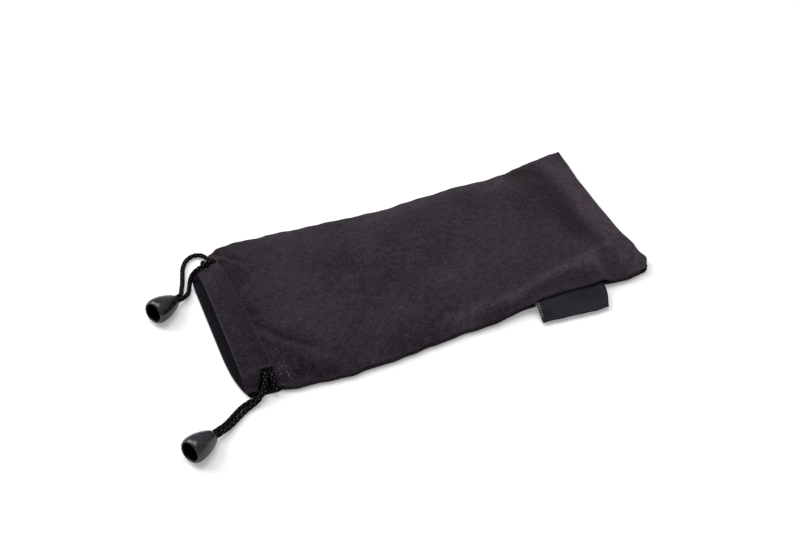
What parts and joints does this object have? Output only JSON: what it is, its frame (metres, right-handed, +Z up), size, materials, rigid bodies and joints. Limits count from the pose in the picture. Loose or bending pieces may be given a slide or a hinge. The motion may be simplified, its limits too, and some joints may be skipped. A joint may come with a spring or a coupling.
{
  "type": "drawstring glasses pouch",
  "caption": "Flat soft suede-microfibre pouch for glasses, closed at the mouth by drawcords that end in plastic bells, with a blank ribbon label in its side seam.",
  "frame": {"origin": "on the table under the middle of the pouch's length and width, in the flat underside of the back panel", "axes": "+X from the mouth to the closed tail, +Y from the seam with the label to the far seam, +Z up through the front panel"},
  "size_m": [0.211, 0.1087, 0.0115],
  "materials": {
    "suede": "brushed suede microfibre",
    "cord": "braided polyester",
    "thread": "sewing thread",
    "bell_plastic": "satin moulded",
    "ribbon": "woven ribbon, blank"
  },
  "bodies": {
    "pouch": {"front_panel": "suede", "back_panel": "suede", "label_tab": "ribbon", "front_casing_stitching": "thread", "back_casing_stitching": "thread", "tail_seam_thread": "thread", "far_seam_thread": "thread", "near_seam_thread_mouth": "thread", "near_seam_thread_tail": "thread", "near_slit_tack": "thread", "far_slit_tack": "thread", "near_cord_in_casing": "cord", "far_cord_in_casing": "cord"},
    "near_cord": {"near_cord_front_strand": "cord", "near_cord_back_strand": "cord", "near_cord_knot": "cord"},
    "near_bell": {"near_bell": "bell_plastic"},
    "far_cord": {"far_cord_front_strand": "cord", "far_cord_back_strand": "cord", "far_cord_knot": "cord"},
    "far_bell": {"far_bell": "bell_plastic"}
  },
  "joints": [
    {"name": "near_cord_pull", "type": "slide", "parent": "pouch", "child": "near_cord", "axis": [-0.8729, -0.4879, 0], "range_m": [0, 0.05], "deforming": ["near_cord_front_strand", "near_cord_back_strand"]},
    {"name": "near_bell_slide", "type": "slide", "parent": "near_cord", "child": "near_bell", "axis": [0.8531, 0.4768, -0.2119], "range_m": [0, 0.006]},
    {"name": "far_cord_pull", "type": "slide", "parent": "pouch", "child": "far_cord", "axis": [-0.874, -0.486, 0], "range_m": [0, 0.05], "deforming": ["far_cord_front_strand", "far_cord_back_strand"]},
    {"name": "far_bell_slide", "type": "slide", "parent": "far_cord", "child": "far_bell", "axis": [0.8539, 0.4754, -0.2119], "range_m": [0, 0.004]}
  ]
}
